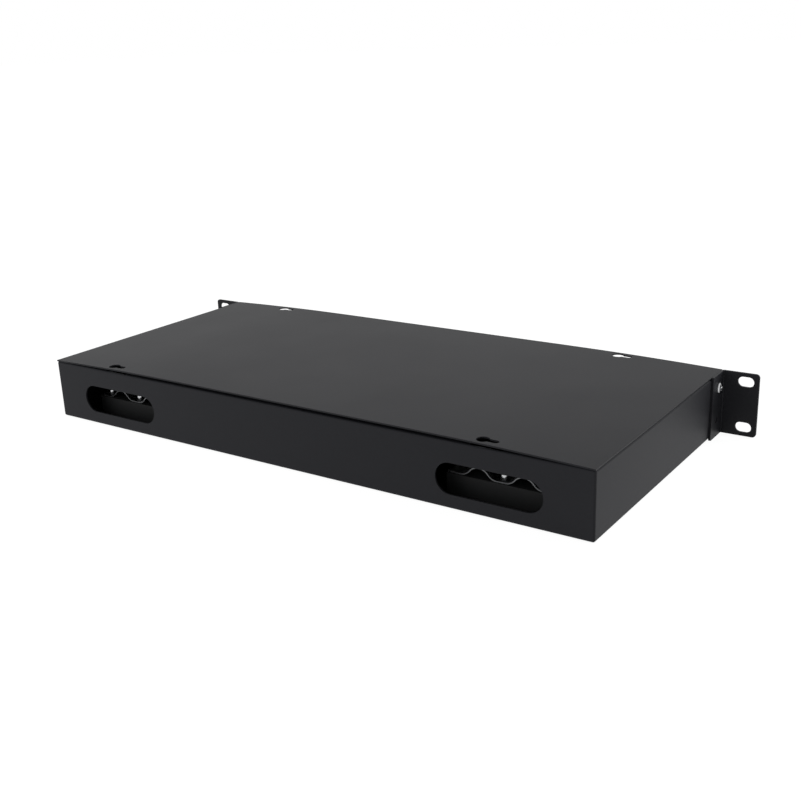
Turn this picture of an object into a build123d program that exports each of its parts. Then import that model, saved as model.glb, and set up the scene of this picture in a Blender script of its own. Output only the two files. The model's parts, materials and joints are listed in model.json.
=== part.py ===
import os

from build123d import *

# Fibre termination box for a 19 inch rack, one unit high, in millimetres.
# The origin is the middle of the four ear slots, on the rear faces of the ears.
# The ports face -Y, the cable entries face +Y and +Z is up. Left and right are as seen from the ports.

# Rack fit
rack_width = 482.6
ear_reach = 25.3
slot_inset = 8.75
slot_edge = 6.125
slot_length = 10.8
slot_width = 7.0
ear_sheet = 1.5
ear_flange = 21.5
ear_corner = 2.5
flange_corner = 1.0
ear_bend = 0.5

# Folded case
body_depth = 200.0
body_height = 43.2
ear_overhang = 0.8
case_sheet = 1.2
case_bend = 0.2
lip_width = 12.0
lip_clearance = 1.0
seam_setback = 0.5

# Crowned cover
cover_sheet = 1.0
cover_crown = 2.0
crown_flat = 200.0
cover_gap = 0.1
tab_sheet = 1.0
tab_lead = 6.0
tab_length = 15.0
tab_below_screw = 5.1
tongue_width = 20.0
tongue_pitch = 150.0
tongue_reach = 7.0
slide_gap = 0.2

# Keyholes in the cover
keyhole_inset = 64.0
keyhole_travel = 8.0
keyhole_round = 8.2
keyhole_slot = 4.4
keyhole_edge = 6.2
notch_margin = 3.0

# Cable entries and wavy clamps
entry_inset = 64.5
entry_shift = 1.5
entry_length = 70.5
entry_height = 20.0
entry_rise = 18.8
clamp_setback = 15.7
strip_width = 10.0
strip_sheet = 0.8
wave_period = 30.0
wave_height = 5.9
trough_flat = 5.4
strip_foot = 6.0
trough_rise = 15.5
block_margin = 1.0
block_round = 1.0

# Fasteners
ear_screw_drop = 9.4
ear_screw_setback = 11.0
m4_shank = 4.0
m4_head = 7.2
m4_head_height = 1.8
m4_nut_flats = 7.0
m4_nut_height = 3.2
m3_shank = 3.0
m3_head = 5.4
m3_head_height = 2.3
m3_nut_flats = 5.5
m3_nut_height = 2.4
hole_play = 0.4
thread_play = 0.1
stud_end = 1.0
screw_end_gap = 0.3
pip_diameter = 4.0
pip_height = 0.8
pip_rise = 11.0

# Port panel and adapters
panel_recess = 30.0
panel_sheet = 1.2
panel_head_gap = 2.9
panel_top_flange = 8.0
panel_foot = 12.0
panel_end_gap = 0.2
panel_stud_inset = 19.4
port_count = 24
port_margin = 22.4
adapter_width = 9.0
adapter_height = 12.7
adapter_length = 27.0
adapter_front = 13.0
adapter_flange_height = 22.0
adapter_flange_width = 10.0
adapter_flange = 2.0
adapter_round = 0.8
adapter_hole = 2.4
socket_width = 7.4
socket_height = 9.2
socket_depth = 11.0
key_width = 2.4
key_depth = 0.9
port_gap = 0.2
clip_sheet = 0.5
clip_depth = 5.0
clip_wing = 3.0
cap_gap = 0.15
cap_plug = 9.0
cap_grip = 5.0
cap_rim = 0.6
cap_round = 0.8
cap_draft = 6.0

# Splice tray
tray_length = 172.0
tray_front_gap = 12.5
tray_rear_gap = 15.8
tray_height = 11.0
tray_wall = 1.6
tray_corner = 22.0
tray_foot = 3.0
tray_foot_radius = 5.0
tray_mouth = 12.0
tray_boss = 5.0
lid_sheet = 1.5
lid_rim = 2.0
lid_gap = 0.2
holder_length = 40.0
holder_width = 24.0
holder_height = 7.0
holder_slots = 6
holder_slot = 2.6
holder_base = 2.0
holder_offset = 44.0
wing_span = 22.0
wing_height = 7.0
wing_sheet = 2.0

# Fibre clips and strength-member posts
clip_ring = 15.0
clip_ring_wall = 1.6
clip_ring_width = 6.0
clip_ring_mouth = 3.0
clip_base = 16.0
clip_base_sheet = 1.6
clip_tray_gap = 42.0
clip_row_inset = 10.0
post_outset = 22.0
post_lead = 15.0
post_height = 10.0
washer_diameter = 9.0
washer_sheet = 0.8
stud_flange = 1.0
stud_flange_height = 0.7

# Places worked out from the sizes above
front_y = -ear_sheet
rear_y = front_y + body_depth
middle_y = (front_y + rear_y) / 2
body_width = rack_width - 2 * ear_reach
half_width = body_width / 2
inner_half = half_width - case_sheet
inner_rear_y = rear_y - case_sheet
ear_height = body_height + ear_overhang
slot_pitch_x = rack_width - 2 * slot_inset
slot_pitch_z = ear_height - 2 * slot_edge
bottom_z = ear_overhang - ear_height / 2
floor_z = bottom_z + case_sheet
top_z = bottom_z + body_height
lip_z = top_z - cover_sheet - cover_gap
lip_under_z = lip_z - case_sheet
outer_bend = case_bend + case_sheet
seam_y = rear_y - outer_bend - seam_setback
mouth_half = half_width - lip_width
mouth_rear_y = rear_y - lip_width
cover_half = half_width - cover_gap
crown_z = top_z + cover_crown
screw_y = front_y + ear_screw_setback
screw_z = top_z - ear_screw_drop
tab_start_y = screw_y - tab_lead
tab_rear_y = tab_start_y + tab_length
lip_start_y = tab_rear_y + lip_clearance
pip_z = bottom_z + pip_rise
entry_z = bottom_z + entry_rise
entry_reach = half_width - entry_inset
entry_xs = {side: entry_shift + side * entry_reach for side in (-1, 1)}
hang_x = half_width - keyhole_inset
round_xs = [keyhole_travel - hang_x, keyhole_travel + hang_x]
keyhole_ys = [front_y + keyhole_edge, rear_y - keyhole_edge]
strip_y = rear_y - clamp_setback - strip_width / 2
trough_z = bottom_z + trough_rise
panel_y = front_y + panel_recess
panel_rear_y = panel_y + panel_sheet
panel_half = inner_half - case_bend - panel_end_gap
panel_top_z = lip_under_z - panel_head_gap
port_z = (floor_z + panel_top_z) / 2
port_pitch = 2 * (panel_half - port_margin) / port_count
port_xs = [(index - (port_count - 1) / 2) * port_pitch for index in range(port_count)]
stud_reach = panel_half - panel_stud_inset
panel_stud_xs = [-stud_reach, -stud_reach / 3, stud_reach / 3, stud_reach]
panel_stud_y = panel_y + panel_foot / 2 + panel_sheet / 2
adapter_front_y = panel_y - adapter_front
adapter_rear_y = adapter_front_y + adapter_length
tray_front_y = adapter_rear_y + cap_grip + tray_front_gap
tray_rear_y = strip_y - strip_width / 2 - block_margin - tray_rear_gap
tray_width = tray_rear_y - tray_front_y
tray_centre_y = (tray_front_y + tray_rear_y) / 2
tray_z = floor_z + tray_foot
tray_floor_z = tray_z + tray_wall
tray_top_z = tray_z + tray_height
past = 2.0

os.makedirs("parts", exist_ok=True)


def save(builder, name):
    builder.part.label = name
    export_step(builder.part, f"parts/{name}.step")


def bolt_circle(flats):
    return flats / 3 ** 0.5


# Room inside the folded case, open past the front edge
with BuildPart() as cavity:
    with BuildSketch(Plane.XY.offset(floor_z)):
        with Locations((0, (front_y - past + inner_rear_y) / 2)):
            Rectangle(2 * inner_half, inner_rear_y - front_y + past)
    extrude(amount=lip_under_z - floor_z)
    folds = cavity.edges().filter_by_position(Axis.Y, front_y, rear_y, inclusive=(False, True))
    fillet(folds, case_bend)

# Whole case, before it is parted: floor, side walls and rear wall, with lips turned in along the top
with BuildPart() as case:
    with BuildSketch(Plane.XY.offset(bottom_z)):
        with Locations((0, middle_y)):
            Rectangle(body_width, body_depth)
    extrude(amount=lip_z - bottom_z)
    folds = case.edges().filter_by_position(Axis.Y, front_y, rear_y, inclusive=(False, True))
    fillet(folds, outer_bend)
    add(cavity.part, mode=Mode.SUBTRACT)
    with BuildSketch(Plane.XY.offset(lip_under_z - past)):
        with Locations((0, (front_y - past + mouth_rear_y) / 2)):
            Rectangle(2 * mouth_half, mouth_rear_y - front_y + past)
        # The rear lip is notched under the keyholes
        notch_length = keyhole_travel + keyhole_round + 2 * notch_margin
        with Locations(*[(x - keyhole_travel / 2, mouth_rear_y) for x in round_xs]):
            Rectangle(notch_length, 2 * (lip_width - outer_bend))
    extrude(amount=case_sheet + 2 * past, mode=Mode.SUBTRACT)
    # The side lips stop short of the front, where the cover's tabs reach down
    with BuildSketch(Plane.XY.offset(lip_z - outer_bend)):
        with Locations((0, (front_y - past + lip_start_y) / 2)):
            Rectangle(body_width + past, lip_start_y - front_y + past)
    extrude(amount=outer_bend + past, mode=Mode.SUBTRACT)
    with BuildSketch(Plane.XZ.offset(-rear_y)):
        with Locations(*[(x, entry_z) for x in entry_xs.values()]):
            SlotOverall(entry_length, entry_height)
    extrude(amount=case_sheet + past, mode=Mode.SUBTRACT)
    # Holes through both side walls for the ear screws and the ears' pips
    with BuildSketch(Plane.YZ.offset(-half_width - past)):
        with Locations((screw_y, screw_z)):
            Circle((m4_shank + hole_play) / 2)
        with Locations((screw_y, pip_z)):
            Circle((pip_diameter + hole_play) / 2)
    extrude(amount=body_width + 2 * past, mode=Mode.SUBTRACT)
    # Tapped holes in the floor for the clamp screws
    with BuildSketch(Plane.XY.offset(bottom_z - past)):
        for side, x in entry_xs.items():
            with Locations((x, strip_y), (x + side * wave_period, strip_y)):
                Circle(m3_shank / 2 + thread_play)
    extrude(amount=case_sheet + 2 * past, mode=Mode.SUBTRACT)

# Room behind the welded seam: the rear wall with its bends, and the lip along its top
with BuildPart() as rear_room:
    with BuildSketch(Plane.XY.offset(bottom_z - past)):
        with Locations((0, (seam_y + rear_y + past) / 2)):
            Rectangle(body_width + 2 * past, rear_y + past - seam_y)
    extrude(amount=body_height + past)
    with BuildSketch(Plane.XY.offset(lip_under_z)):
        with Locations((0, (mouth_rear_y + rear_y) / 2)):
            Rectangle(2 * mouth_half, lip_width)
    extrude(amount=case_sheet)

# Base: floor and side walls folded from one sheet, with lips turned in along the sides
with BuildPart() as base_tray:
    add(case.part)
    add(rear_room.part, mode=Mode.SUBTRACT)
save(base_tray, "base_tray")

# Rear wall: a second folded sheet with the two cable entries, butt welded to the base.
# Its solid is parted level with the tops and bottoms of the entries, so that each band is a plain shape.
with BuildPart() as rear_wall:
    add(case.part)
    add(rear_room.part, mode=Mode.INTERSECT)
    for band_z in (entry_z + entry_height / 2, entry_z - entry_height / 2):
        split(bisect_by=Plane.XY.offset(band_z), keep=Keep.BOTH)
save(rear_wall, "rear_wall")

# Cover: one sheet bowed up across its width, with keyholes, two locking tabs and two rear tongues
with BuildPart() as top_cover:
    with BuildSketch(Plane.XZ.offset(-rear_y)):
        with BuildLine():
            Line((0, crown_z), (crown_flat / 2, crown_z))
            TangentArc((crown_flat / 2, crown_z), (cover_half, top_z), tangent=(1, 0))
            Line((cover_half, top_z), (cover_half, top_z - cover_sheet))
            under_z = crown_z - cover_sheet
            TangentArc((crown_flat / 2, under_z), (cover_half, top_z - cover_sheet), tangent=(1, 0))
            Line((crown_flat / 2, under_z), (0, under_z))
            mirror(about=Plane.YZ)
        make_face()
    extrude(amount=body_depth)
    with BuildSketch(Plane.XY.offset(crown_z + past)):
        for y in keyhole_ys:
            with Locations(*[(x, y) for x in round_xs]):
                Circle(keyhole_round / 2)
            with Locations(*[(x - keyhole_travel / 2, y) for x in round_xs]):
                SlotCenterToCenter(keyhole_travel, keyhole_slot)
    extrude(amount=-(cover_crown + cover_sheet + 2 * past), mode=Mode.SUBTRACT)
    # Locking tabs inside the side walls, slotted open to the rear for the ear screws
    tab_x = inner_half - slide_gap - tab_sheet
    tab_top_z = top_z - cover_sheet / 2
    tab_height = tab_top_z - screw_z + tab_below_screw
    slot_rear_y = tab_rear_y + past
    for inner_face_x in (tab_x, -tab_x - tab_sheet):
        with BuildSketch(Plane.YZ.offset(inner_face_x)):
            with Locations((tab_start_y + tab_length / 2, tab_top_z - tab_height / 2)):
                Rectangle(tab_length, tab_height)
            with Locations(((screw_y + slot_rear_y) / 2, screw_z)):
                Rectangle(slot_rear_y - screw_y, m4_shank + hole_play, mode=Mode.SUBTRACT)
            with Locations((screw_y, screw_z)):
                Circle((m4_shank + hole_play) / 2, mode=Mode.SUBTRACT)
        extrude(amount=tab_sheet)
    # Tongues that hook under the rear lip
    tongue_y = rear_y - lip_width - slide_gap - tab_sheet
    tongue_z = lip_under_z - slide_gap - tab_sheet
    with BuildSketch(Plane.XY.offset(tongue_z)):
        with GridLocations(tongue_pitch, 1, 2, 1):
            with Locations((0, tongue_y + tongue_reach / 2)):
                Rectangle(tongue_width, tongue_reach)
    extrude(amount=tab_sheet)
    with BuildSketch(Plane.XY.offset(tongue_z)):
        with GridLocations(tongue_pitch, 1, 2, 1):
            with Locations((0, tongue_y + tab_sheet / 2)):
                Rectangle(tongue_width, tab_sheet)
    extrude(amount=crown_z - cover_sheet / 2 - tongue_z)
save(top_cover, "top_cover")

# Rack ears: an angle on each side wall, with slots for the rack screws
for side, name in ((-1, "left_ear"), (1, "right_ear")):
    face_x = side * half_width
    flange_x = side * (half_width + ear_sheet)
    tip_x = side * rack_width / 2
    flange_end_y = front_y + ear_flange
    with BuildPart() as ear:
        with BuildSketch(Plane.XY.offset(-ear_height / 2)) as ear_plan:
            with BuildLine():
                Polyline(
                    (face_x, front_y), (tip_x, front_y), (tip_x, 0), (flange_x, 0),
                    (flange_x, flange_end_y), (face_x, flange_end_y), close=True,
                )
            make_face()
            fillet(ear_plan.vertices().sort_by_distance((face_x, front_y, 0))[0], ear_bend + ear_sheet)
            fillet(ear_plan.vertices().sort_by_distance((flange_x, 0, 0))[0], ear_bend)
        extrude(amount=ear_height)
        fillet(ear.edges().filter_by(Axis.Y).group_by(SortBy.LENGTH)[0], ear_corner)
        fillet(ear.edges().filter_by(Axis.X).group_by(Axis.Y)[-1], flange_corner)
        with BuildSketch(Plane.XZ.offset(-past)):
            with Locations((side * slot_pitch_x / 2, 0)):
                with GridLocations(1, slot_pitch_z, 1, 2):
                    SlotOverall(slot_length, slot_width)
        extrude(amount=ear_sheet + 2 * past, mode=Mode.SUBTRACT)
        with BuildSketch(Plane.YZ.offset(face_x - side * past)):
            with Locations((screw_y, screw_z)):
                Circle((m4_shank + hole_play) / 2)
        extrude(amount=side * (ear_sheet + 2 * past), mode=Mode.SUBTRACT)
        # Half-sheared pip that stops the ear turning about its one screw
        with BuildSketch(Plane.YZ.offset(face_x)):
            with Locations((screw_y, pip_z)):
                Circle(pip_diameter / 2)
        extrude(amount=-side * pip_height)
        with BuildSketch(Plane.YZ.offset(flange_x)):
            with Locations((screw_y, pip_z)):
                Circle(pip_diameter / 2)
        extrude(amount=-side * pip_height, mode=Mode.SUBTRACT)
    save(ear, name)

# Ear screws, through the ear, the side wall and the slot of the cover's tab, with nuts inside
nut_face = inner_half - tab_sheet - 2 * slide_gap
with BuildPart() as ear_screws:
    for side in (-1, 1):
        seat = Plane(origin=(side * (half_width + ear_sheet), screw_y, screw_z), z_dir=(side, 0, 0))
        with BuildSketch(seat):
            Circle(m4_head / 2)
        extrude(amount=m4_head_height)
        with BuildSketch(seat):
            Circle(m4_shank / 2)
        extrude(amount=-(half_width + ear_sheet - nut_face + m4_nut_height))
    fillet(ear_screws.edges().filter_by(GeomType.CIRCLE).group_by(Axis.X)[0], m4_head_height / 2)
    fillet(ear_screws.edges().filter_by(GeomType.CIRCLE).group_by(Axis.X)[-1], m4_head_height / 2)
save(ear_screws, "ear_screws")

with BuildPart() as ear_nuts:
    for side in (-1, 1):
        with BuildSketch(Plane(origin=(side * nut_face, screw_y, screw_z), z_dir=(-side, 0, 0))):
            RegularPolygon(bolt_circle(m4_nut_flats), 6)
            Circle(m4_shank / 2 + thread_play, mode=Mode.SUBTRACT)
        extrude(amount=m4_nut_height)
save(ear_nuts, "ear_nuts")

# Port panel: a channel standing on the floor, with a cut-out for each adapter
foot_top_z = floor_z + panel_sheet
foot_end_y = panel_y + panel_foot
flange_under_z = panel_top_z - panel_sheet
flange_end_y = panel_y + panel_top_flange
with BuildPart() as port_panel:
    with BuildSketch(Plane.YZ.offset(-panel_half)) as panel_section:
        with BuildLine():
            Polyline(
                (panel_y, floor_z), (foot_end_y, floor_z), (foot_end_y, foot_top_z),
                (panel_rear_y, foot_top_z), (panel_rear_y, flange_under_z),
                (flange_end_y, flange_under_z), (flange_end_y, panel_top_z),
                (panel_y, panel_top_z), close=True,
            )
        make_face()
        fillet(panel_section.vertices().group_by(Axis.X)[0], outer_bend)
        for z in (foot_top_z, flange_under_z):
            fillet(panel_section.vertices().sort_by_distance((panel_rear_y, z, 0))[0], case_bend)
    extrude(amount=2 * panel_half)
    with BuildSketch(Plane.XZ.offset(-panel_rear_y - past)):
        with Locations(*[(x, port_z) for x in port_xs]):
            Rectangle(adapter_width + 2 * port_gap, adapter_height + 2 * port_gap)
    extrude(amount=panel_sheet + 2 * past, mode=Mode.SUBTRACT)
    with BuildSketch(Plane.XY.offset(floor_z - past)):
        with Locations(*[(x, panel_stud_y) for x in panel_stud_xs]):
            Circle(m3_shank / 2 + stud_flange + hole_play)
    extrude(amount=panel_sheet + 2 * past, mode=Mode.SUBTRACT)
save(port_panel, "port_panel")


def weld_studs(places, shank, height):
    with BuildPart() as studs:
        with BuildSketch(Plane.XY.offset(floor_z)):
            with Locations(*places):
                Circle(shank / 2 + stud_flange)
        extrude(amount=stud_flange_height)
        with BuildSketch(Plane.XY.offset(floor_z)):
            with Locations(*places):
                Circle(shank / 2)
        extrude(amount=height)
    return studs


def hex_nuts(places, base_z, shank, flats, height):
    with BuildPart() as nuts:
        with BuildSketch(Plane.XY.offset(base_z)):
            with Locations(*places):
                RegularPolygon(bolt_circle(flats), 6)
                Circle(shank / 2 + thread_play, mode=Mode.SUBTRACT)
        extrude(amount=height)
    return nuts


def washers(places, base_z, shank):
    with BuildPart() as rings:
        with BuildSketch(Plane.XY.offset(base_z)):
            with Locations(*places):
                Circle(washer_diameter / 2)
                Circle(shank / 2 + thread_play, mode=Mode.SUBTRACT)
        extrude(amount=washer_sheet)
    return rings


# Weld studs on the floor that hold the port panel, with washers and nuts
panel_places = [(x, panel_stud_y) for x in panel_stud_xs]
panel_nut_z = foot_top_z + washer_sheet
panel_bolt_height = panel_nut_z + m3_nut_height + stud_end - floor_z
save(weld_studs(panel_places, m3_shank, panel_bolt_height), "panel_studs")
save(washers(panel_places, foot_top_z, m3_shank), "panel_washers")
save(hex_nuts(panel_places, panel_nut_z, m3_shank, m3_nut_flats, m3_nut_height), "panel_nuts")

# Adapters: a flanged square sleeve with a keyed socket at each end
for index, x in enumerate(port_xs, 1):
    with BuildPart() as adapter:
        with BuildSketch(Plane.XZ.offset(-adapter_front_y)):
            with Locations((x, port_z)):
                Rectangle(adapter_width, adapter_height)
        extrude(amount=-adapter_length)
        with BuildSketch(Plane.XZ.offset(-panel_y)):
            with Locations((x, port_z)):
                RectangleRounded(adapter_flange_width, adapter_flange_height, adapter_round)
                with GridLocations(1, (adapter_height + adapter_flange_height) / 2, 1, 2):
                    Circle(adapter_hole / 2, mode=Mode.SUBTRACT)
        extrude(amount=adapter_flange)
        for end_y, inward in ((adapter_front_y, -1), (adapter_rear_y, 1)):
            with BuildSketch(Plane.XZ.offset(-end_y)):
                with Locations((x, port_z)):
                    Rectangle(socket_width, socket_height)
                with Locations((x, port_z + socket_height / 2)):
                    Rectangle(key_width, 2 * key_depth)
            extrude(amount=inward * socket_depth, mode=Mode.SUBTRACT)
    save(adapter, f"adapter_{index:02d}")

# Spring clips that hold each adapter behind the panel
clip_y = panel_rear_y + clip_depth
port_width = adapter_width + 2 * port_gap
port_height = adapter_height + 2 * port_gap
with BuildPart() as adapter_clips:
    with BuildSketch(Plane.XZ.offset(-clip_y)):
        with Locations(*[(x, port_z) for x in port_xs]):
            Rectangle(port_width + 2 * clip_sheet, port_height + 2 * clip_sheet)
            Rectangle(port_width, port_height, mode=Mode.SUBTRACT)
    extrude(amount=clip_depth - clip_sheet)
    with BuildSketch(Plane.XZ.offset(-panel_rear_y)):
        with Locations(*[(x, port_z) for x in port_xs]):
            Rectangle(port_width + 2 * clip_sheet, adapter_height + 2 * clip_wing)
            Rectangle(port_width, port_height, mode=Mode.SUBTRACT)
    extrude(amount=-clip_sheet)
save(adapter_clips, "adapter_clips")

# Dust caps, one plug in each socket
cap_rows = (("front_dust_caps", adapter_front_y, 1), ("rear_dust_caps", adapter_rear_y, -1))
for name, end_y, outward in cap_rows:
    with BuildPart() as dust_caps:
        with BuildSketch(Plane.XZ.offset(-end_y)):
            with Locations(*[(x, port_z) for x in port_xs]):
                RectangleRounded(adapter_width + cap_rim, adapter_height + cap_rim, cap_round)
        extrude(amount=outward * cap_grip, taper=cap_draft)
        with BuildSketch(Plane.XZ.offset(-end_y)):
            with Locations(*[(x, port_z) for x in port_xs]):
                Rectangle(socket_width - 2 * cap_gap, socket_height - 2 * cap_gap)
        extrude(amount=-outward * cap_plug)
    save(dust_caps, name)

# Wavy cable clamps behind each entry: a block on the floor, a waved strip and its screws
crest_x = wave_period / 2
slope_x = (crest_x + trough_flat / 2) / 2
wave_mid_z = wave_height / 2
block_length = 2 * (wave_period + strip_foot) + 2 * block_margin
block_height = trough_z - floor_z
for side, name in ((-1, "left"), (1, "right")):
    x = entry_xs[side]
    screw_places = [(x, strip_y), (x + side * wave_period, strip_y)]
    with BuildPart() as clamp_block:
        with BuildSketch(Plane.XY.offset(floor_z)):
            with Locations((x, strip_y)):
                RectangleRounded(block_length, strip_width + 2 * block_margin, block_round)
            with Locations(*screw_places):
                Circle((m3_shank + hole_play) / 2, mode=Mode.SUBTRACT)
        extrude(amount=block_height)
    save(clamp_block, f"{name}_clamp_block")

    strip_origin = (x, strip_y + strip_width / 2, trough_z + strip_sheet / 2)
    with BuildPart() as clamp_strip:
        with BuildSketch(Plane(origin=strip_origin, x_dir=(1, 0, 0), z_dir=(0, -1, 0))):
            with BuildLine() as wave:
                Line((0, 0), (trough_flat / 2, 0))
                TangentArc((trough_flat / 2, 0), (slope_x, wave_mid_z), tangent=(1, 0))
                ThreePointArc(
                    (slope_x, wave_mid_z), (crest_x, wave_height), (wave_period - slope_x, wave_mid_z)
                )
                TangentArc(
                    (wave_period - trough_flat / 2, 0), (wave_period - slope_x, wave_mid_z), tangent=(-1, 0)
                )
                Line((wave_period - trough_flat / 2, 0), (wave_period + strip_foot, 0))
                mirror(about=Plane.YZ)
            trace(line_width=strip_sheet)
        extrude(amount=strip_width)
        with BuildSketch(Plane.XY.offset(trough_z - past)):
            with Locations(*screw_places):
                Circle((m3_shank + hole_play) / 2)
        extrude(amount=strip_sheet + 2 * past, mode=Mode.SUBTRACT)
    save(clamp_strip, f"{name}_clamp_strip")

    # A plain and a spring washer under each head, as one ring
    seat_z = trough_z + strip_sheet
    with BuildPart() as clamp_washers:
        with BuildSketch(Plane.XY.offset(seat_z)):
            with Locations(*screw_places):
                Circle(m3_head / 2)
                Circle(m3_shank / 2 + thread_play, mode=Mode.SUBTRACT)
        extrude(amount=2 * washer_sheet)
    save(clamp_washers, f"{name}_clamp_washers")

    head_z = seat_z + 2 * washer_sheet
    with BuildPart() as clamp_screws:
        with BuildSketch(Plane.XY.offset(head_z)):
            with Locations(*screw_places):
                Circle(m3_head / 2)
        extrude(amount=m3_head_height)
        fillet(clamp_screws.edges().group_by(Axis.Z)[-1], m3_head_height / 3)
        with BuildSketch(Plane.XY.offset(head_z)):
            with Locations(*screw_places):
                Circle(m3_shank / 2)
        extrude(amount=-(head_z - bottom_z - screw_end_gap))
    save(clamp_screws, f"{name}_clamp_screws")

# Splice tray on four moulded feet, with tube mouths at its corners and a boss on its stud
tray_centre = (0, tray_centre_y)
well_length = tray_length - 2 * tray_wall
well_width = tray_width - 2 * tray_wall
with BuildPart() as splice_tray:
    with BuildSketch(Plane.XY.offset(tray_z)):
        with Locations(tray_centre):
            RectangleRounded(tray_length, tray_width, tray_corner)
    extrude(amount=tray_height)
    with BuildSketch(Plane.XY.offset(tray_floor_z)):
        with Locations(tray_centre):
            RectangleRounded(well_length, well_width, tray_corner - tray_wall)
            Circle(tray_boss, mode=Mode.SUBTRACT)
    extrude(amount=tray_height, mode=Mode.SUBTRACT)
    with BuildSketch(Plane.XY.offset(tray_floor_z)):
        with Locations(tray_centre):
            with GridLocations(tray_length, tray_width - 2 * tray_corner - tray_mouth, 2, 2):
                Rectangle(4 * tray_wall, tray_mouth)
    extrude(amount=tray_height, mode=Mode.SUBTRACT)
    with BuildSketch(Plane.XY.offset(floor_z)):
        with Locations(tray_centre):
            with GridLocations(tray_length - 2 * tray_corner, tray_width - 2 * tray_corner, 2, 2):
                Circle(tray_foot_radius)
    extrude(amount=tray_foot)
    with BuildSketch(Plane.XY.offset(tray_z)):
        with Locations(tray_centre):
            Circle((m4_shank + hole_play) / 2)
    extrude(amount=tray_height, mode=Mode.SUBTRACT)
save(splice_tray, "splice_tray")

# Combs for the splice sleeves
with BuildPart() as splice_holders:
    with BuildSketch(Plane.XY.offset(tray_floor_z)):
        with Locations(tray_centre):
            with GridLocations(2 * holder_offset, 1, 2, 1):
                Rectangle(holder_length, holder_width)
    extrude(amount=holder_height)
    holder_pitch = holder_width / holder_slots
    with BuildSketch(Plane.XY.offset(tray_floor_z + holder_base)):
        with Locations(tray_centre):
            with GridLocations(2 * holder_offset, holder_pitch, 2, holder_slots):
                Rectangle(holder_length, holder_slot)
    extrude(amount=holder_height, mode=Mode.SUBTRACT)
save(splice_holders, "splice_holders")

# Lid of the splice tray, with a rim that drops inside the walls
with BuildPart() as tray_lid:
    with BuildSketch(Plane.XY.offset(tray_top_z)):
        with Locations(tray_centre):
            RectangleRounded(tray_length, tray_width, tray_corner)
            Circle((m4_shank + hole_play) / 2, mode=Mode.SUBTRACT)
    extrude(amount=lid_sheet)
    rim_length = well_length - 2 * lid_gap
    rim_width = well_width - 2 * lid_gap
    rim_corner = tray_corner - tray_wall - lid_gap
    with BuildSketch(Plane.XY.offset(tray_top_z)) as rim_outline:
        with Locations(tray_centre):
            RectangleRounded(rim_length, rim_width, rim_corner)
        offset(rim_outline.sketch, -tray_wall, mode=Mode.SUBTRACT)
    extrude(amount=-lid_rim)
save(tray_lid, "splice_tray_lid")

# Stud and wing nut that hold the splice tray and its lid
wing_z = tray_top_z + lid_sheet
with BuildPart() as wing_nut:
    with BuildSketch(Plane.XY.offset(wing_z)):
        with Locations(tray_centre):
            Circle(m4_nut_flats / 2)
    extrude(amount=m4_nut_height)
    with BuildSketch(Plane.XZ.offset(-tray_centre_y - wing_sheet / 2)) as wing_outline:
        with BuildLine():
            Polyline(
                (m4_shank / 2, wing_z + m4_nut_height / 2), (wing_span / 2, wing_z + m4_nut_height),
                (wing_span / 2, wing_z + wing_height), (wing_span / 4, wing_z + wing_height), close=True,
            )
        make_face()
        fillet(wing_outline.vertices().group_by(Axis.Y)[-1], wing_sheet / 2)
        mirror(about=Plane.YZ)
    extrude(amount=wing_sheet)
    with BuildSketch(Plane.XY.offset(wing_z)):
        with Locations(tray_centre):
            Circle(m4_shank / 2 + thread_play)
    extrude(amount=wing_height, mode=Mode.SUBTRACT)
save(wing_nut, "tray_wing_nut")
save(weld_studs([tray_centre], m4_shank, wing_z + m4_nut_height - floor_z), "tray_stud")

# Split rings that lead the fibres round the tray
clip_ring_x = tray_length / 2 + clip_tray_gap
clip_rows = (tray_front_y + clip_row_inset, tray_rear_y - clip_row_inset)
clip_places = [(side * clip_ring_x, y) for side in (-1, 1) for y in clip_rows]
ring_z = floor_z + clip_base_sheet + clip_ring / 2 - clip_ring_wall / 2
for index, (x, y) in enumerate(clip_places, 1):
    with BuildPart() as fibre_clip:
        with BuildSketch(Plane.XY.offset(floor_z)):
            with Locations((x, y)):
                RectangleRounded(clip_base, clip_base, block_round)
        extrude(amount=clip_base_sheet)
        with BuildSketch(Plane.XZ.offset(-y - clip_ring_width / 2)):
            with Locations((x, ring_z)):
                Circle(clip_ring / 2)
                Circle(clip_ring / 2 - clip_ring_wall, mode=Mode.SUBTRACT)
            with Locations((x, ring_z + clip_ring / 2)):
                Rectangle(clip_ring_mouth, clip_ring / 2, mode=Mode.SUBTRACT)
        extrude(amount=clip_ring_width)
    save(fibre_clip, f"fibre_clip_{index}")

# Posts that grip the cables' strength members, with washers and nuts
post_places = [(x + side * post_outset, strip_y - post_lead) for side, x in entry_xs.items()]
post_nut_z = floor_z + post_height - m4_nut_height - stud_end
save(weld_studs(post_places, m4_shank, post_height), "strength_posts")
save(washers(post_places, post_nut_z - washer_sheet, m4_shank), "strength_washers")
save(hex_nuts(post_places, post_nut_z, m4_shank, m4_nut_flats, m4_nut_height), "strength_nuts")
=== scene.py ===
import json
import math

import bmesh
import bpy
from mathutils import Matrix, Quaternion, Vector


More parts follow.
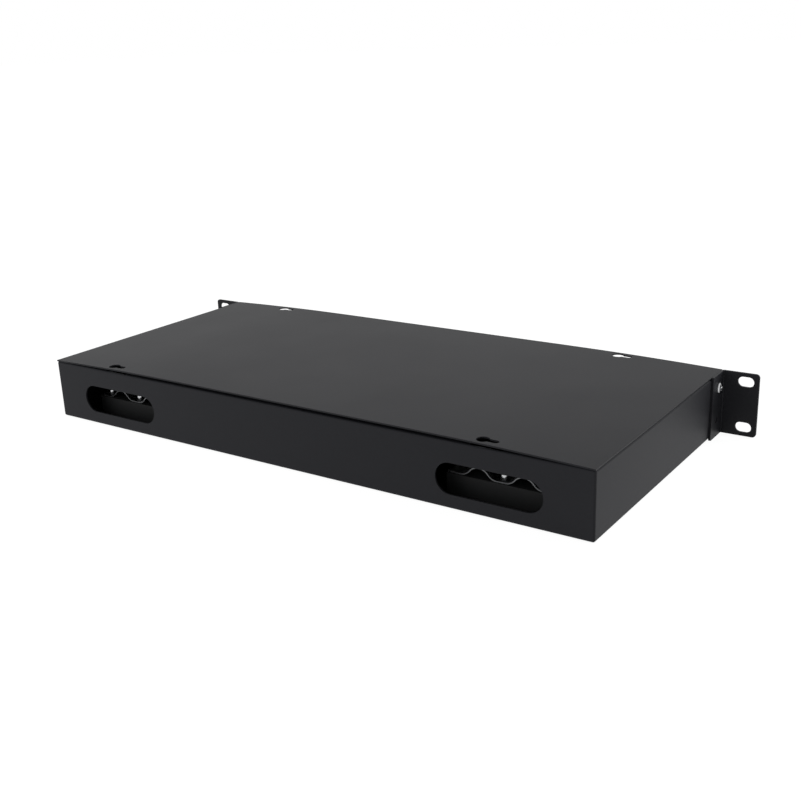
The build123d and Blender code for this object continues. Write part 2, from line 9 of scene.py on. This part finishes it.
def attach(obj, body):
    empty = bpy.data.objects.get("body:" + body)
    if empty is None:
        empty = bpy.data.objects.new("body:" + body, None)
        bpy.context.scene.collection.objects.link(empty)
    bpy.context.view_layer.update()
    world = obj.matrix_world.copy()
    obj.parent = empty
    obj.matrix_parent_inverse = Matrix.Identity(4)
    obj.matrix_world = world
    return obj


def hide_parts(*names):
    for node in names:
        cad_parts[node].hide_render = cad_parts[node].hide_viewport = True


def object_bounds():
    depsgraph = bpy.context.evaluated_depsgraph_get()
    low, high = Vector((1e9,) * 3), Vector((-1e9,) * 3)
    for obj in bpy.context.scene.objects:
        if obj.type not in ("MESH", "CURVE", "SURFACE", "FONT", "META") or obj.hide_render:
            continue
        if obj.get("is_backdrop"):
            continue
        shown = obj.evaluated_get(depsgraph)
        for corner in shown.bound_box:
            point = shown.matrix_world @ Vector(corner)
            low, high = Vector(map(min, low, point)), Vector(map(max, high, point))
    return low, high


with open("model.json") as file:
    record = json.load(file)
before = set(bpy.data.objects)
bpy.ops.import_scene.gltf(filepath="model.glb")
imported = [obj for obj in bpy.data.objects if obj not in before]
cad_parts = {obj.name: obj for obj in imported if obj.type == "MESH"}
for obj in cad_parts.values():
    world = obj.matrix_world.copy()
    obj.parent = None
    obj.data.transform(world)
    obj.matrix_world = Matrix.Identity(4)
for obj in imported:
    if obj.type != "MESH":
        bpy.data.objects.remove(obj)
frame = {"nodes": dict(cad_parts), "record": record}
cadLow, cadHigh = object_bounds()
mm = 0.001
slotOf = {row["node"]: row["material_slot"] for row in frame["record"]["subparts"]}
bodyOf = {node: body for body, nodes in frame["record"]["behaviour"]["bodies"].items() for node in nodes}
print("frame loaded:", len(frame["nodes"]), "nodes")


class Wire:  # an output socket, so that shader sums read as plain sums
    def __init__(self, finish, socket):
        self.finish = finish
        self.socket = socket

    def maths(self, operation, first, second):
        return self.finish.add("ShaderNodeMath", {"operation": operation}, {0: first, 1: second})

    def __add__(self, other):
        return self.maths("ADD", self, other)

    def __radd__(self, other):
        return self.maths("ADD", other, self)

    def __sub__(self, other):
        return self.maths("SUBTRACT", self, other)

    def __rsub__(self, other):
        return self.maths("SUBTRACT", other, self)

    def __mul__(self, other):
        return self.maths("MULTIPLY", self, other)

    def __rmul__(self, other):
        return self.maths("MULTIPLY", other, self)


class Finish:  # one node tree, with a single way to add any node
    def __init__(self, owner):
        owner.use_nodes = True
        self.owner = owner
        self.tree = owner.node_tree
        self.tree.nodes.clear()

    def add(self, kind, settings=None, inputs=None, output=0):
        node = self.tree.nodes.new(kind)
        for name, value in (settings or {}).items():
            setattr(node, name, value)
        for name, value in (inputs or {}).items():
            if isinstance(value, Wire):
                self.tree.links.new(value.socket, node.inputs[name])
            else:
                node.inputs[name].default_value = value
        return Wire(self, node.outputs[output]) if node.outputs else node

    def noise(self, size, detail, stretch=(1.0, 1.0, 1.0)):
        place = self.add("ShaderNodeTexCoord", output="Object")
        drawn = self.add("ShaderNodeMapping", inputs={"Vector": place, "Scale": stretch})
        return self.add("ShaderNodeTexNoise", inputs={"Vector": drawn, "Scale": 1.0 / size, "Detail": detail})

    def mix(self, amount, first, second):
        return self.add("ShaderNodeMix", {"data_type": "RGBA"}, {0: amount, 6: first, 7: second}, output=2)

    def bump(self, height, depth, strength):
        return self.add("ShaderNodeBump", inputs={"Height": height, "Distance": depth, "Strength": strength})

    def seenDirectly(self):  # the rays that show a background to the camera, in metal and through glass
        rays = ("Is Camera Ray", "Is Glossy Ray", "Is Transmission Ray")
        camera, glossy, through = [self.add("ShaderNodeLightPath", output=ray) for ray in rays]
        return camera + glossy + through

    def principled(self, **inputs):
        shader = self.add("ShaderNodeBsdfPrincipled", inputs=inputs)
        self.add("ShaderNodeOutputMaterial", inputs={"Surface": shader})
        return self.owner


def shade(red, green, blue):
    return (red, green, blue, 1.0)


def blend(shares, first, *others):  # a sum of patterns, each by its share
    total = shares[0] * first
    for share, pattern in zip(shares[1:], others):
        total = total + share * pattern
    return total


noiseMean = 0.5
blackCoat = {  # satin powder coat on steel; a pattern has its size and detail, a blend its shares
    "dark": shade(0.0088, 0.0090, 0.0106), "light": shade(0.0148, 0.0151, 0.0174),
    "peel": (1.1 * mm, 3.0), "fleck": (0.25 * mm, 1.0), "cloud": (60 * mm, 4.0),
    "toneBlend": (0.45, 0.25, 0.3), "roughBlend": (0.6, 0.4), "bumpBlend": (0.7, 0.3),
    "roughness": 0.46, "spread": 0.10, "depth": 0.012 * mm, "strength": 0.35, "level": 0.10,
}


def makeBlackCoat():
    coat = Finish(bpy.data.materials.new("blackCoat"))
    peel, fleck, cloud = [coat.noise(*blackCoat[pattern]) for pattern in ("peel", "fleck", "cloud")]
    tone = blend(blackCoat["toneBlend"], peel, fleck, cloud)
    uneven = blend(blackCoat["roughBlend"], cloud, fleck) - noiseMean
    height = blend(blackCoat["bumpBlend"], peel, fleck)
    return coat.principled(**{
        "Base Color": coat.mix(tone, blackCoat["dark"], blackCoat["light"]),
        "Roughness": blackCoat["roughness"] + blackCoat["spread"] * uneven,
        "Specular IOR Level": blackCoat["level"],
        "Normal": coat.bump(height, blackCoat["depth"], blackCoat["strength"])})


platings = {  # plated or blackened steel: dull and pale shade, roughness and how far it varies
    "bright_zinc": (shade(0.45, 0.456, 0.466), shade(0.63, 0.635, 0.642), 0.22, 0.16),
    # dull zinc of the clamp strips: partly a duller plating and partly painted shade, its colour darkened to stand
    # for the shade inside the box
    "dull_zinc": (shade(0.125, 0.128, 0.133), shade(0.20, 0.204, 0.21), 0.42, 0.16),
    "dark_steel": (shade(0.060, 0.061, 0.064), shade(0.105, 0.106, 0.110), 0.42, 0.14),
}
rolledSurface = {
    "grain": (0.35 * mm, 3.0), "cloud": (9 * mm, 3.0), "toneBlend": (0.6, 0.4),
    "streak": (0.06, 1.0, 1.0), "depth": 0.004 * mm, "strength": 0.3,
}


def makePlating(slot):
    dull, pale, roughness, spread = platings[slot]
    plating = Finish(bpy.data.materials.new(slot))
    rolled = plating.noise(*rolledSurface["grain"], rolledSurface["streak"])
    cloud = plating.noise(*rolledSurface["cloud"])
    tone = blend(rolledSurface["toneBlend"], rolled, cloud)
    return plating.principled(**{
        "Base Color": plating.mix(tone, dull, pale), "Metallic": 1.0,
        "Roughness": roughness + spread * (tone - noiseMean),
        "Normal": plating.bump(rolled, rolledSurface["depth"], rolledSurface["strength"])})


mouldings = {  # moulded plastics: dark and light shade, roughness, size of the sparked texture, gloss level
    "adapter_plastic": (shade(0.012, 0.085, 0.33), shade(0.018, 0.11, 0.40), 0.42, 0.30 * mm, 0.45),
    "cap_plastic": (shade(0.54, 0.56, 0.57), shade(0.64, 0.66, 0.67), 0.30, 0.80 * mm, 0.5),
    "black_plastic": (shade(0.0062, 0.0064, 0.0066), shade(0.0092, 0.0094, 0.0097), 0.58, 0.28 * mm, 0.22),
    "holder_plastic": (shade(0.46, 0.47, 0.48), shade(0.54, 0.55, 0.56), 0.48, 0.28 * mm, 0.4),
}
mouldSurface = {
    "sparkDetail": 2.0, "cloud": (14 * mm, 3.0), "toneBlend": (0.5, 0.5),
    "spread": 0.10, "depth": 0.010 * mm, "strength": 0.3,
}


def makeMoulding(slot):
    dark, light, roughness, grain, level = mouldings[slot]
    moulding = Finish(bpy.data.materials.new(slot))
    spark = moulding.noise(grain, mouldSurface["sparkDetail"])
    cloud = moulding.noise(*mouldSurface["cloud"])
    tone = blend(mouldSurface["toneBlend"], spark, cloud)
    return moulding.principled(**{
        "Base Color": moulding.mix(tone, dark, light), "Specular IOR Level": level,
        "Roughness": roughness + mouldSurface["spread"] * (spark - noiseMean),
        "Normal": moulding.bump(spark, mouldSurface["depth"], mouldSurface["strength"])})


finishes = {"black_coat": makeBlackCoat()}
for slot in platings:
    finishes[slot] = makePlating(slot)
for slot in mouldings:
    finishes[slot] = makeMoulding(slot)
print("finishes made:", len(finishes))


shading = {"sharp": 38.0, "flat": 0.1, "merge": 0.002 * mm}  # two angles in degrees, and how near points are one


def addPiece(node, bm):  # the finished form of a node, in its place
    name = node + "_finished"
    mesh = bpy.data.meshes.new(name)
    bm.to_mesh(mesh)
    bm.free()
    mesh.shade_smooth()
    mesh.set_sharp_from_angle(angle=math.radians(shading["sharp"]))
    mesh.materials.append(finishes[slotOf[node]])
    piece = bpy.data.objects.new(name, mesh)
    bpy.context.collection.objects.link(piece)
    weights = piece.modifiers.new("evenShading", "WEIGHTED_NORMAL")
    weights.keep_sharp = True
    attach(piece, bodyOf[node])
    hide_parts(node)


def mergePoints(bm):
    bmesh.ops.remove_doubles(bm, verts=bm.verts, dist=shading["merge"])


def mergedCopy(node):  # a node's own mesh, with its loose triangles joined
    bm = bmesh.new()
    bm.from_mesh(frame["nodes"][node].data)
    mergePoints(bm)
    return bm


def joinFlats(bm):
    bmesh.ops.dissolve_limit(bm, angle_limit=math.radians(shading["flat"]), verts=bm.verts, edges=bm.edges)


def bevelEdges(bm, edges, width, segments):
    bmesh.ops.bevel(
        bm, geom=edges, offset=width, offset_type="OFFSET", affect="EDGES", segments=segments,
        profile=0.5, material=-1, clamp_overlap=True, loop_slide=True)


easing = {"sharp": 28.0, "segments": 2}


def easeEdges(bm, width, crisp=None):  # crisp tells which edges stay as they are cut
    joinFlats(bm)
    sharp = math.radians(easing["sharp"])
    edges = [edge for edge in bm.edges if edge.is_manifold and edge.calc_face_angle() > sharp]
    if crisp:
        edges = [edge for edge in edges if not crisp(edge)]
    bevelEdges(bm, edges, width, easing["segments"])


adapterEase, fibreClipEase = 0.25 * mm, 0.35 * mm
easedEdges = {  # how far the edges of each plain sheet or moulding are eased
    "left_ear": 0.25 * mm, "right_ear": 0.25 * mm, "port_panel": 0.2 * mm,
    "left_clamp_strip": 0.15 * mm, "right_clamp_strip": 0.15 * mm,
    "left_clamp_block": 0.3 * mm, "right_clamp_block": 0.3 * mm, "splice_tray": 0.3 * mm,
    "splice_holders": 0.25 * mm, "tray_wing_nut": 0.35 * mm, "adapter_clips": 0.08 * mm,
}
for node in frame["nodes"]:
    if node.startswith("adapter_") and node not in easedEdges:
        easedEdges[node] = adapterEase
    if node.startswith("fibre_clip"):
        easedEdges[node] = fibreClipEase
for node, width in easedEdges.items():
    bm = mergedCopy(node)
    easeEdges(bm, width)
    addPiece(node, bm)
print("edges eased:", len(easedEdges))


baseTray = {"ease": 0.22 * mm, "wallTop": 21.5 * mm}


def wallTop(edge):
    return min(vert.co.z for vert in edge.verts) > baseTray["wallTop"]


bm = mergedCopy("base_tray")
easeEdges(bm, baseTray["ease"], crisp=wallTop)
addPiece("base_tray", bm)


coverSheet = {"ease": 0.16 * mm, "groove": 0.55 * mm, "side": 215.0 * mm, "run": 50 * mm}


def longRim(edge):
    ends = [vert.co for vert in edge.verts]
    alongSide = abs(ends[0].y - ends[1].y) > coverSheet["run"]
    return alongSide and min(abs(end.x) for end in ends) > coverSheet["side"]


def addCover():  # the underside of its long edges is cut back, which leaves a dark line over the side walls
    bm = mergedCopy("top_cover")
    joinFlats(bm)
    rims = [edge for edge in bm.edges if longRim(edge)]
    lowest = min(vert.co.z for edge in rims for vert in edge.verts)
    lower = [edge for edge in rims if edge.verts[0].co.z < lowest + coverSheet["groove"]]
    bevelEdges(bm, lower, coverSheet["groove"], 1)
    easeEdges(bm, coverSheet["ease"], crisp=longRim)
    addPiece("top_cover", bm)


addCover()
print("cover and base finished")


rearWall = {  # the levels that its solid is parted at, and the entries' middles and half their straight length
    "levels": (7.6 * mm, -12.4 * mm), "entries": (-150 * mm, 153 * mm), "halfFlat": 25.25 * mm,
    "play": 0.01 * mm, "upright": 0.99, "ease": 0.22 * mm,
}


def addRearWall():  # its solid is parted in level bands, which are one sheet here
    bm = mergedCopy("rear_wall")
    for entry in rearWall["entries"]:
        for side in (-1, 1):
            bmesh.ops.bisect_plane(
                bm, geom=bm.verts[:] + bm.edges[:] + bm.faces[:], dist=shading["merge"],
                plane_co=(entry + side * rearWall["halfFlat"], 0.0, 0.0), plane_no=(1.0, 0.0, 0.0))
    inside = []
    for face in bm.faces:
        centre = face.calc_center_median()
        level = min(abs(centre.z - height) for height in rearWall["levels"]) < rearWall["play"]
        inEntry = min(abs(centre.x - entry) for entry in rearWall["entries"]) < rearWall["halfFlat"]
        if level and abs(face.normal.z) > rearWall["upright"] and not inEntry:
            inside.append(face)
    bmesh.ops.delete(bm, geom=inside, context="FACES")
    mergePoints(bm)
    bmesh.ops.recalc_face_normals(bm, faces=bm.faces)
    print("rear wall joined, open edges:", sum(not edge.is_manifold for edge in bm.edges))
    easeEdges(bm, rearWall["ease"])
    addPiece("rear_wall", bm)


addRearWall()


trayLid = {"ease": 0.3 * mm, "rim": 6.0 * mm, "sunk": 0.5 * mm}


def addTrayLid():  # a flat lid with a sunk field
    bm = mergedCopy("splice_tray_lid")
    joinFlats(bm)
    top = max(vert.co.z for vert in bm.verts)
    field = [face for face in bm.faces if face.calc_center_median().z > top - shading["merge"]]
    bmesh.ops.inset_region(
        bm, faces=field, thickness=trayLid["rim"], depth=0.0, use_boundary=True, use_even_offset=True)
    verts = list({vert for face in field for vert in face.verts})
    bmesh.ops.translate(bm, vec=(0.0, 0.0, -trayLid["sunk"]), verts=verts)
    easeEdges(bm, trayLid["ease"])
    addPiece("splice_tray_lid", bm)


addTrayLid()
print("lid sunk")


def solidBoxes(node):  # lowest and highest corner of each separate solid in a node
    bm = mergedCopy(node)
    boxes = []
    for start in bm.verts:
        if start.tag:
            continue
        start.tag = True
        reached = [start]
        for vert in reached:
            for edge in vert.link_edges:
                other = edge.other_vert(vert)
                if not other.tag:
                    other.tag = True
                    reached.append(other)
        low, high = start.co.copy(), start.co.copy()
        for vert in reached:
            low = Vector(map(min, low, vert.co))
            high = Vector(map(max, high, vert.co))
        boxes.append((low, high))
    bm.free()
    return boxes


def ringTo(bm, edges, placeOf):  # carries a loop of edges on to a new radius and height
    grown = bmesh.ops.extrude_edge_only(bm, edges=edges)["geom"]
    verts = {part for part in grown if isinstance(part, bmesh.types.BMVert)}
    for vert in verts:
        angle = math.atan2(vert.co.y, vert.co.x)
        radius, height = placeOf(angle)
        vert.co = (radius * math.cos(angle), radius * math.sin(angle), height)
    return [part for part in grown if isinstance(part, bmesh.types.BMEdge) and set(part.verts) <= verts]


def ringsAlong(bm, edges, path):
    for radius, height in path:
        edges = ringTo(bm, edges, lambda angle: (radius, height))
    return edges


threadForm = {"crest": 0.25, "root": 0.75, "depth": 0.45, "fewest": 2}  # shares of the pitch, and turns


def threadRings(radius, pitch, start, end):  # crests and roots between two heights
    turns = max(threadForm["fewest"], round(abs(end - start) / pitch))
    step = (end - start) / turns
    rings = []
    for turn in range(turns):
        rings.append((radius, start + step * (turn + threadForm["crest"])))
        rings.append((radius - threadForm["depth"] * pitch, start + step * (turn + threadForm["root"])))
    return rings


def keepShape(name, bm):  # closes a shape, to be stamped where its solids are
    mergePoints(bm)
    bmesh.ops.recalc_face_normals(bm, faces=bm.faces)
    shape = bpy.data.meshes.new(name)
    bm.to_mesh(shape)
    bm.free()
    return shape


def stamp(bm, shape, place):
    known = len(bm.verts)
    bm.from_mesh(shape)
    bm.verts.ensure_lookup_table()
    bmesh.ops.transform(bm, matrix=place, verts=bm.verts[known:])


quarterTurn = math.radians(90)
outward = {  # turns a shape that stands up, so that it points another way
    "up": Matrix.Identity(4),
    "right": Matrix.Rotation(quarterTurn, 4, "Y"), "left": Matrix.Rotation(-quarterTurn, 4, "Y"),
    "front": Matrix.Rotation(quarterTurn, 4, "X"), "rear": Matrix.Rotation(-quarterTurn, 4, "X"),
}


clampHead = (2.7 * mm, 2.3 * mm, 1.55 * mm, 1.3 * mm, 1.5 * mm, 0.5 * mm)
panHeads = {  # head radius and height, reach and depth of the cross recess, shank radius and thread pitch
    "ear_screws": (3.6 * mm, 1.8 * mm, 2.1 * mm, 1.2 * mm, 2.0 * mm, 0.7 * mm),
    "left_clamp_screws": clampHead, "right_clamp_screws": clampHead,
}
screwForm = {  # the head's curve in shares of its radius and height, the recess's cells and taper, the shank's tip
    "curve": ((0.74, 0.985), (0.86, 0.93), (0.94, 0.83), (0.985, 0.68), (1.0, 0.5), (1.0, 0.06), (0.975, 0.0)),
    "cells": 8, "taper": 0.6, "tip": 0.7,
}


def screwShape(node, length):  # stands with the seat of its head at zero
    head, height, recess, depth, shank, pitch = panHeads[node]
    cells, taper = screwForm["cells"], screwForm["taper"]
    bm = bmesh.new()
    bmesh.ops.create_grid(bm, x_segments=cells, y_segments=cells, size=recess)
    bmesh.ops.translate(bm, vec=(0.0, 0.0, height), verts=bm.verts)
    arm = 2 * recess / cells
    cross = []
    for face in bm.faces:
        centre = face.calc_center_median()
        if min(abs(centre.x), abs(centre.y)) < arm:
            cross.append(face)
    rim = [edge for edge in bm.edges if edge.is_boundary]
    path = [(head * radius, height * rise) for radius, rise in screwForm["curve"]] + [(shank, 0.0)]
    path += threadRings(shank, pitch, 0.0, -length) + [(shank * screwForm["tip"], -length)]
    bmesh.ops.contextual_create(bm, geom=ringsAlong(bm, rim, path))
    sunk = bmesh.ops.extrude_face_region(bm, geom=cross)["geom"]
    bmesh.ops.delete(bm, geom=cross, context="FACES")
    verts = [part for part in sunk if isinstance(part, bmesh.types.BMVert)]
    bmesh.ops.translate(bm, vec=(0.0, 0.0, -depth), verts=verts)
    bmesh.ops.scale(bm, vec=(taper, taper, 1.0), verts=verts)
    return keepShape(node, bm)


def addScrews(node):
    bm = bmesh.new()
    height = panHeads[node][1]
    for low, high in solidBoxes(node):
        seat = (low + high) / 2
        if node == "ear_screws":
            side = "right" if low.x > 0 else "left"
            seat.x = high.x - height if low.x > 0 else low.x + height
            length = high.x - low.x - height
        else:
            side = "up"
            seat.z = high.z - height
            length = high.z - low.z - height
        stamp(bm, screwShape(node, length), Matrix.Translation(seat) @ outward[side])
    addPiece(node, bm)


for node in panHeads:
    addScrews(node)
print("screws cut")


hexNuts = {  # width over flats and bore radius
    "ear_nuts": (7.0 * mm, 2.1 * mm), "panel_nuts": (5.5 * mm, 1.6 * mm), "strength_nuts": (7.0 * mm, 2.1 * mm),
}
nutCrown = {  # the round face and the bore's lead-in are shares of the half width and of the bore
    "segments": 36, "face": 0.95, "lead": 1.12, "slope": math.tan(math.radians(30.0)), "flat": math.radians(60.0),
}


def nutShape(node, height):  # stands on its seat, with crowned corners at both ends
    flats, bore = hexNuts[node]
    face, lead = nutCrown["face"] * flats / 2, nutCrown["lead"] * bore
    bm = bmesh.new()
    bmesh.ops.create_circle(bm, segments=nutCrown["segments"], radius=lead)

    def corner(angle):
        return flats / 2 / math.cos(angle % nutCrown["flat"] - nutCrown["flat"] / 2)

    def drop(angle):
        return (corner(angle) - face) * nutCrown["slope"]

    edges = ringsAlong(bm, bm.edges[:], [(face, 0.0)])
    edges = ringTo(bm, edges, lambda angle: (corner(angle), drop(angle)))
    edges = ringTo(bm, edges, lambda angle: (corner(angle), height - drop(angle)))
    ringsAlong(bm, edges, [
        (face, height), (lead, height), (bore, height - lead + bore), (bore, lead - bore), (lead, 0.0)])
    return keepShape(node, bm)


def addNuts(node):
    bm = bmesh.new()
    for low, high in solidBoxes(node):
        seat = (low + high) / 2
        if node == "ear_nuts":  # these stand on the inside of the walls
            side = "left" if low.x > 0 else "right"
            seat.x = high.x if low.x > 0 else low.x
            height = high.x - low.x
        else:
            side = "up"
            seat.z = low.z
            height = high.z - low.z
        stamp(bm, nutShape(node, height), Matrix.Translation(seat) @ outward[side])
    addPiece(node, bm)


for node in hexNuts:
    addNuts(node)
print("nuts crowned")


washerBores = {  # bore radius, and the share of the height that is a plain washer under a split one
    "panel_washers": (1.6 * mm, 1.0), "strength_washers": (2.1 * mm, 1.0),
    "left_clamp_washers": (1.6 * mm, 0.38), "right_clamp_washers": (1.6 * mm, 0.38),
}
washerEdge = {"segments": 36, "ease": 0.1 * mm, "inset": 0.12 * mm, "corners": 8}


def washerShape(node, outer, bore, low, high, split):
    ease = washerEdge["ease"]
    bm = bmesh.new()
    bmesh.ops.create_circle(bm, segments=washerEdge["segments"], radius=bore + ease)
    bmesh.ops.translate(bm, vec=(0.0, 0.0, low), verts=bm.verts)
    if split:
        bm.edges.ensure_lookup_table()
        bmesh.ops.delete(bm, geom=[bm.edges[0]], context="EDGES")
    ringsAlong(bm, bm.edges[:], [
        (outer - ease, low), (outer, low + ease), (outer, high - ease), (outer - ease, high),
        (bore + ease, high), (bore, high - ease), (bore, low + ease), (bore + ease, low)])
    mergePoints(bm)
    if split:
        ends = [edge for edge in bm.edges if edge.is_boundary]
        bmesh.ops.holes_fill(bm, edges=ends, sides=washerEdge["corners"])
    return keepShape(node, bm)


def addWashers(node):
    bm = bmesh.new()
    bore, plainShare = washerBores[node]
    inset = washerEdge["inset"]
    for low, high in solidBoxes(node):
        outer, height = (high.x - low.x) / 2, high.z - low.z
        seat = (low + high) / 2
        seat.z = low.z
        plain = height * plainShare
        stamp(bm, washerShape(node, outer, bore, 0.0, plain, False), Matrix.Translation(seat))
        if plain < height:
            upper = washerShape(node, outer - inset, bore + inset, plain, height, True)
            stamp(bm, upper, Matrix.Translation(seat))
    addPiece(node, bm)


for node in washerBores:
    addWashers(node)
print("washers turned")


studPitch = {"panel_studs": 0.5 * mm, "tray_stud": 0.7 * mm, "strength_posts": 0.7 * mm}
studFoot = {"segments": 32, "height": 0.7 * mm, "reach": 1.0 * mm, "ease": 0.12 * mm, "lead": 0.45 * mm}


def studShape(node, flange, height):  # a threaded stud on a welded foot
    pitch, foot, ease, lead = studPitch[node], studFoot["height"], studFoot["ease"], studFoot["lead"]
    shank = flange - studFoot["reach"]
    bm = bmesh.new()
    bmesh.ops.create_circle(bm, segments=studFoot["segments"], radius=flange, cap_ends=True)
    path = [(flange, foot - ease), (flange - ease, foot), (shank, foot), (shank, foot + pitch)]
    path += threadRings(shank, pitch, foot + pitch, height - lead)
    path += [(shank, height - lead), (shank - lead, height)]
    bmesh.ops.contextual_create(bm, geom=ringsAlong(bm, bm.edges[:], path))
    return keepShape(node, bm)


for node in studPitch:
    bm = bmesh.new()
    for low, high in solidBoxes(node):
        seat = (low + high) / 2
        seat.z = low.z
        stamp(bm, studShape(node, (high.x - low.x) / 2, high.z - low.z), Matrix.Translation(seat))
    addPiece(node, bm)
print("studs threaded")


dustCap = {  # width and height in mm of the plug and the ribbed grip, at each distance from the port's mouth
    "round": 1.1 * mm, "roundSegments": 3, "grip": 5.0 * mm,
    "stack": (
        (-9.0, 5.9, 7.7), (-8.3, 7.1, 8.9), (0.0, 7.1, 8.9), (0.0, 9.5, 13.2), (0.15, 9.6, 13.3), (0.8, 9.5, 13.2),
        (1.0, 9.3, 13.0), (1.1, 8.7, 12.4), (1.6, 8.65, 12.35), (1.75, 9.15, 12.85), (2.3, 9.05, 12.75),
        (2.45, 8.5, 12.2), (2.9, 8.45, 12.15), (3.05, 8.9, 12.6), (3.6, 8.8, 12.5), (3.75, 8.3, 12.0),
        (4.2, 8.25, 11.95), (4.35, 8.65, 12.35), (4.75, 8.55, 12.25), (5.0, 8.0, 11.7)),
}


def capShape():
    bm = bmesh.new()
    bmesh.ops.create_grid(bm, x_segments=1, y_segments=1, size=0.5)  # a unit square
    (depth, width, tall), *stack = [[size * mm for size in row] for row in dustCap["stack"]]
    bmesh.ops.scale(bm, vec=(width, tall, 1.0), verts=bm.verts)
    bmesh.ops.bevel(
        bm, geom=bm.verts[:], offset=dustCap["round"], offset_type="OFFSET", affect="VERTICES",
        segments=dustCap["roundSegments"], profile=0.5, material=-1)
    bmesh.ops.translate(bm, vec=(0.0, 0.0, depth), verts=bm.verts)
    bm.faces.ensure_lookup_table()
    face = bm.faces[0]
    lastDepth, lastWidth, lastTall = depth, width, tall
    for depth, width, tall in stack:
        face = bmesh.ops.extrude_discrete_faces(bm, faces=[face])["faces"][0]
        bmesh.ops.scale(bm, vec=(width / lastWidth, tall / lastTall, 1.0), verts=face.verts)
        bmesh.ops.translate(bm, vec=(0.0, 0.0, depth - lastDepth), verts=face.verts)
        lastDepth, lastWidth, lastTall = depth, width, tall
    bmesh.ops.holes_fill(bm, edges=[edge for edge in bm.edges if edge.is_boundary], sides=0)
    return keepShape("dustCap", bm)


cap = capShape()
for node, side in (("front_dust_caps", "front"), ("rear_dust_caps", "rear")):
    bm = bmesh.new()
    for low, high in solidBoxes(node):
        seat = (low + high) / 2
        seat.y = low.y + dustCap["grip"] if side == "front" else high.y - dustCap["grip"]
        stamp(bm, cap, Matrix.Translation(seat) @ outward[side])
    addPiece(node, bm)
print("caps ribbed")


floorSheet = {"size": 12.0, "tone": 0.94, "lift": 1.02, "grain": (4 * mm, 2.0), "glow": 0.85, "light": 1.09}


def makeFloor():
    paper = Finish(bpy.data.materials.new("floorPaper"))
    grain = paper.noise(*floorSheet["grain"])
    tone, pale = floorSheet["tone"], floorSheet["tone"] * floorSheet["lift"]
    colour = paper.mix(grain, shade(tone, tone, tone), shade(pale, pale, pale))
    sheet = paper.add("ShaderNodeBsdfDiffuse", inputs={"Color": colour})
    white = paper.add("ShaderNodeEmission", inputs={
        "Color": shade(1.0, 1.0, 1.0), "Strength": floorSheet["light"]})
    glow = floorSheet["glow"] * paper.seenDirectly()
    mixed = paper.add("ShaderNodeMixShader", inputs={0: glow, 1: sheet, 2: white})
    paper.add("ShaderNodeOutputMaterial", inputs={"Surface": mixed})
    bm = bmesh.new()
    bmesh.ops.create_grid(bm, x_segments=1, y_segments=1, size=floorSheet["size"])
    bmesh.ops.translate(bm, vec=(0.0, 0.0, cadLow.z), verts=bm.verts)
    mesh = bpy.data.meshes.new("floorSheet")
    bm.to_mesh(mesh)
    bm.free()
    mesh.materials.append(paper.owner)
    floor = bpy.data.objects.new("floorSheet", mesh)
    bpy.context.collection.objects.link(floor)
    floor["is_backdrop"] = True


skyLight = {"strength": 0.60, "backdrop": 1.0}


def makeWorld():
    world = bpy.data.worlds.new("studioWorld")
    bpy.context.scene.world = world
    sky = Finish(world)
    strength = skyLight["strength"] + (skyLight["backdrop"] - skyLight["strength"]) * sky.seenDirectly()
    light = sky.add("ShaderNodeBackground", inputs={"Color": shade(1.0, 1.0, 1.0), "Strength": strength})
    sky.add("ShaderNodeOutputWorld", inputs={"Surface": light})


lamps = {  # place, aim, width and power of each soft box
    "keyBox": ((-1.2, -1.05, 0.42), (0.0, 0.1, 0.0), 0.7, 24.0),
    "fillBox": ((0.75, 1.25, 0.42), (0.0, 0.1, 0.0), 1.0, 12.0),
}


def makeLamps():
    for name, (place, aim, width, power) in lamps.items():
        lamp = bpy.data.lights.new(name, "AREA")
        lamp.shape = "SQUARE"
        lamp.size = width
        lamp.energy = power
        holder = bpy.data.objects.new(name, lamp)
        holder.location = place
        holder.rotation_mode = "QUATERNION"
        holder.rotation_quaternion = (Vector(aim) - Vector(place)).to_track_quat("-Z", "Y")
        holder.visible_glossy = False  # no glints along the folds
        bpy.context.collection.objects.link(holder)


photoView = {  # the photograph's viewpoint: metres, degrees of roll, lens and sensor in mm
    "place": (-0.43602, 0.69128, 0.24461), "heading": (0.54152, -0.77659, -0.32197), "roll": -2.15,
    "lens": 49.04, "sensor": 36.0, "near": 0.01,
}


def makeCamera():
    data = bpy.data.cameras.new("photoCamera")
    data.lens = photoView["lens"]
    data.sensor_width = photoView["sensor"]
    data.clip_start = photoView["near"]
    camera = bpy.data.objects.new("photoCamera", data)
    camera.location = photoView["place"]
    camera.rotation_mode = "QUATERNION"
    level = Vector(photoView["heading"]).to_track_quat("-Z", "Y")
    camera.rotation_quaternion = level @ Quaternion((0.0, 0.0, 1.0), math.radians(photoView["roll"]))
    bpy.context.collection.objects.link(camera)
    bpy.context.scene.camera = camera


makeFloor()
makeWorld()
makeLamps()
makeCamera()
bpy.context.scene.view_settings.view_transform = "Standard"
print("stage set")

low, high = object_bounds()
